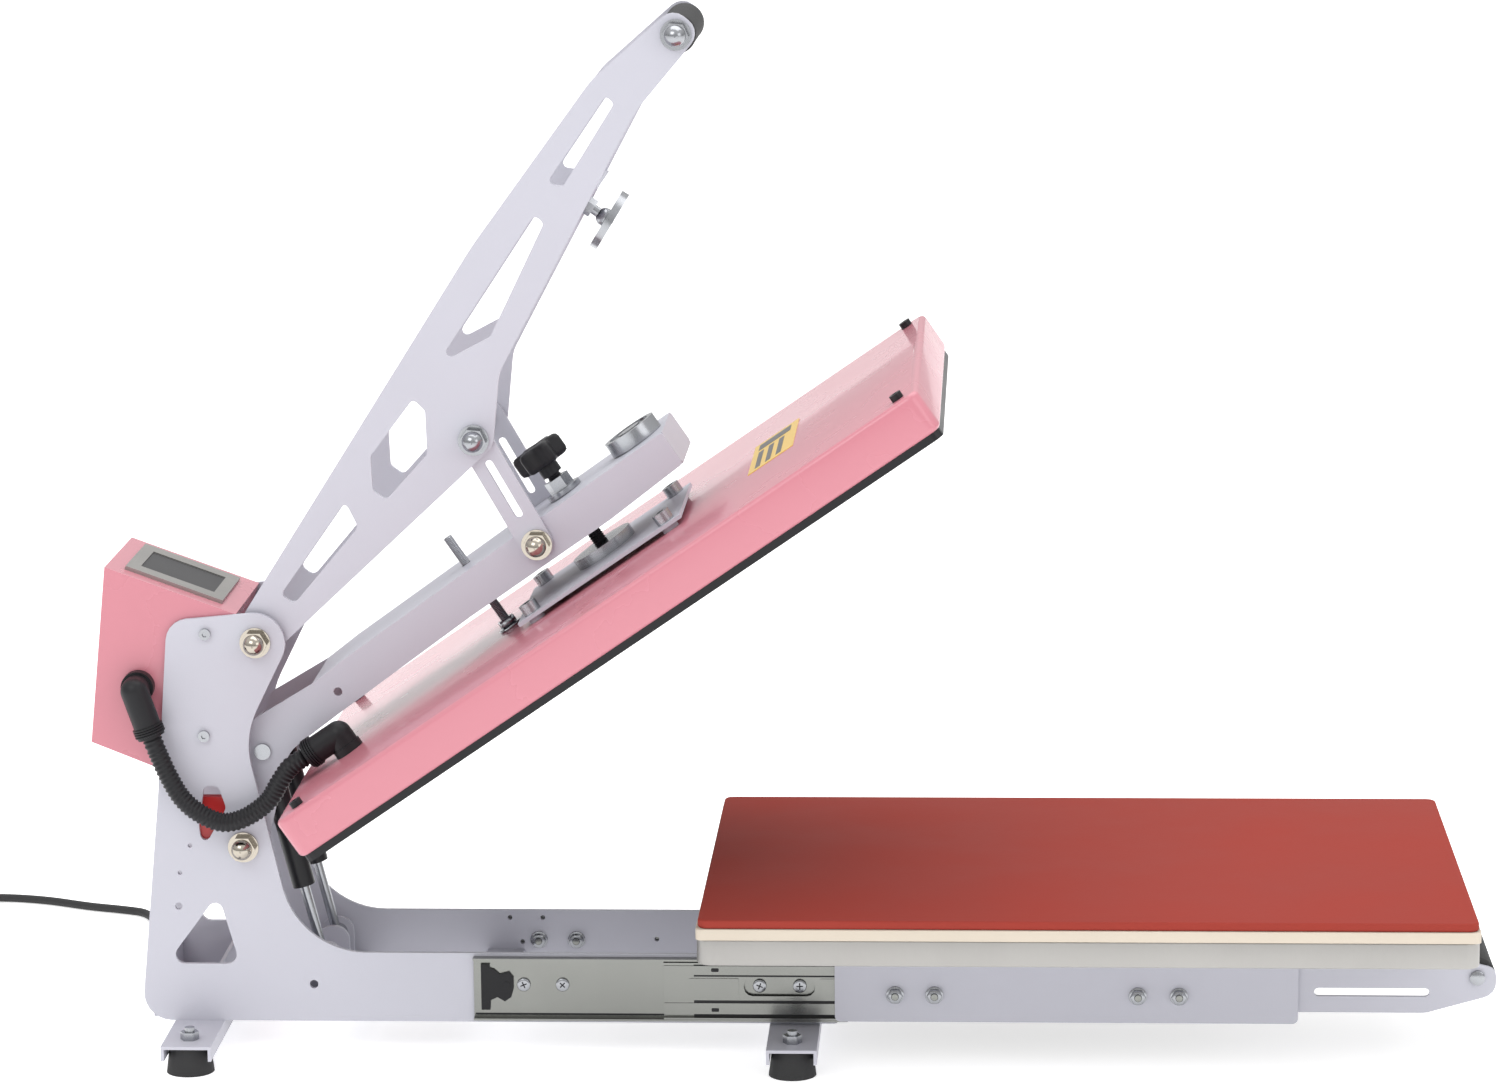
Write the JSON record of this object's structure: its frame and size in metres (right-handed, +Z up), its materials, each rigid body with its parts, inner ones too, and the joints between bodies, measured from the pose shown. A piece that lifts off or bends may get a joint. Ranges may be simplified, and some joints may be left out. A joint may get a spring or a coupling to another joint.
{
  "type": "heat press",
  "caption": "Clamshell heat press standing open: tilted heated platen, tall twin-plate handle, pink control box and a slide-out padded bed on ball slides",
  "frame": {"origin": "floor level under the middle of the press, without the mains cord", "axes": "+X towards the operator and the drawn-out bed, +Z up, +Y to the operator's right"},
  "size_m": [1.4875, 0.5976, 0.8332],
  "materials": {
    "powder_coat": "satin powder coat",
    "pink_enamel": "gloss enamel",
    "bright_steel": "zinc plated",
    "nickel": "nickel plated",
    "aluminium": "brushed",
    "black_plastic": "moulded",
    "black_steel": "black oxide",
    "black_rubber": "foam and rubber",
    "silicone": "moulded silicone",
    "board": "sanded",
    "screen": "dark window",
    "circuit": "board",
    "red_plastic": "moulded",
    "label": "printed film"
  },
  "bodies": {
    "base": {"side_plate_left": "powder_coat", "side_plate_right": "powder_coat", "crossmembers": "powder_coat", "foot_brackets": "powder_coat", "rubber_feet": "black_rubber", "foot_studs": "bright_steel", "box_screws": "bright_steel", "pivot_rods": "bright_steel", "pivot_nuts": "nickel", "control_box_case": "pink_enamel", "display_bezel": "aluminium", "display_screen": "screen", "control_board": "circuit", "mains_switch_body": "black_plastic", "cord_gland": "black_plastic", "box_elbow": "black_plastic", "conduit": "black_plastic", "limit_switch": "red_plastic", "slides_outer": "bright_steel", "slide_stops": "black_plastic", "gas_spring_bracket": "powder_coat", "mains_cord": "black_rubber", "cord_coil": "black_rubber", "mains_plug": "black_plastic"},
    "rocker": {"mains_rocker": "red_plastic"},
    "handle": {"handle_plate_left": "powder_coat", "handle_plate_right": "powder_coat", "grip_bar": "bright_steel", "handle_grip": "black_rubber", "armature_plate": "powder_coat", "armature_disc": "bright_steel", "link_pivot_rod": "bright_steel"},
    "link": {"links": "powder_coat", "link_lower_nuts": "nickel"},
    "arm": {"platen_arm": "powder_coat", "arm_pins": "bright_steel", "electromagnet": "bright_steel", "spindle_nut": "bright_steel"},
    "heater": {"heater_cover": "pink_enamel", "heater_platen": "black_steel", "heating_element": "bright_steel", "thrust_collar": "bright_steel", "heater_bracket": "powder_coat", "bracket_screws": "bright_steel", "cover_screws": "black_steel", "guide_stud": "bright_steel", "heater_elbow": "black_plastic", "rating_label": "label"},
    "knob": {"pressure_knob": "black_plastic", "pressure_spindle": "bright_steel"},
    "spring_rods": {"gas_rods": "bright_steel"},
    "spring_tubes": {"gas_cylinders": "black_steel"},
    "slide_middle": {"slides_middle": "bright_steel"},
    "drawer": {"slides_inner": "bright_steel", "bed_plate": "aluminium", "bed_board": "board", "silicone_pad": "silicone", "drawer_plates": "powder_coat", "drawer_brackets": "powder_coat", "drawer_grip": "black_rubber"}
  },
  "joints": [
    {"name": "handle_swing", "type": "hinge", "parent": "base", "child": "handle", "pos_m": [-0.424, 0, 0.337], "axis": [0, 1, 0], "range_deg": [0, 58.3], "stiffness_Nm_per_rad": 40, "springref_deg": -103.13},
    {"name": "arm_swing", "type": "hinge", "parent": "base", "child": "arm", "pos_m": [-0.438, 0, 0.17], "axis": [0, 1, 0], "range_deg": [0, 34.4], "deforming": ["conduit"]},
    {"name": "link_swing", "type": "hinge", "parent": "handle", "child": "link", "pos_m": [-0.24768, 0, 0.49863], "axis": [0, 1, 0], "range_deg": [-97.6, 0]},
    {"name": "platen_lift", "type": "slide", "parent": "arm", "child": "heater", "axis": [-0.5642, 0, 0.8256], "range_m": [0, 0.004]},
    {"name": "knob_turn", "type": "hinge", "parent": "heater", "child": "knob", "pos_m": [-0.1906, 0, 0.4602], "axis": [-0.5642, 0, 0.8256], "range_deg": [0, 720.1]},
    {"name": "spring_swing", "type": "hinge", "parent": "base", "child": "spring_rods", "pos_m": [-0.3789, 0, 0.0695], "axis": [0, 1, 0], "range_deg": [0, 12.5]},
    {"name": "spring_stroke", "type": "slide", "parent": "spring_rods", "child": "spring_tubes", "axis": [-0.2434, 0, 0.9699], "range_m": [-0.0271, 0]},
    {"name": "slide_extend", "type": "slide", "parent": "base", "child": "slide_middle", "axis": [1, 0, 0], "range_m": [-0.15, 0]},
    {"name": "drawer_slide", "type": "slide", "parent": "base", "child": "drawer", "axis": [1, 0, 0], "range_m": [-0.3, 0]},
    {"name": "mains_rock", "type": "hinge", "parent": "base", "child": "rocker", "pos_m": [-0.55086, 0, 0.35252], "axis": [0, 1, 0], "range_deg": [-5, 5]}
  ],
  "couplings": [
    {"joint": "arm_swing", "follows": "handle_swing", "ratio": 0.5892},
    {"joint": "link_swing", "follows": "handle_swing", "ratio": -1.6734},
    {"joint": "spring_swing", "follows": "handle_swing", "ratio": 0.21286},
    {"joint": "spring_stroke", "follows": "handle_swing", "m_per_rad": -0.026466},
    {"joint": "knob_turn", "follows": "platen_lift", "rad_per_m": 3141.6},
    {"joint": "slide_extend", "follows": "drawer_slide", "ratio": 0.5}
  ]
}
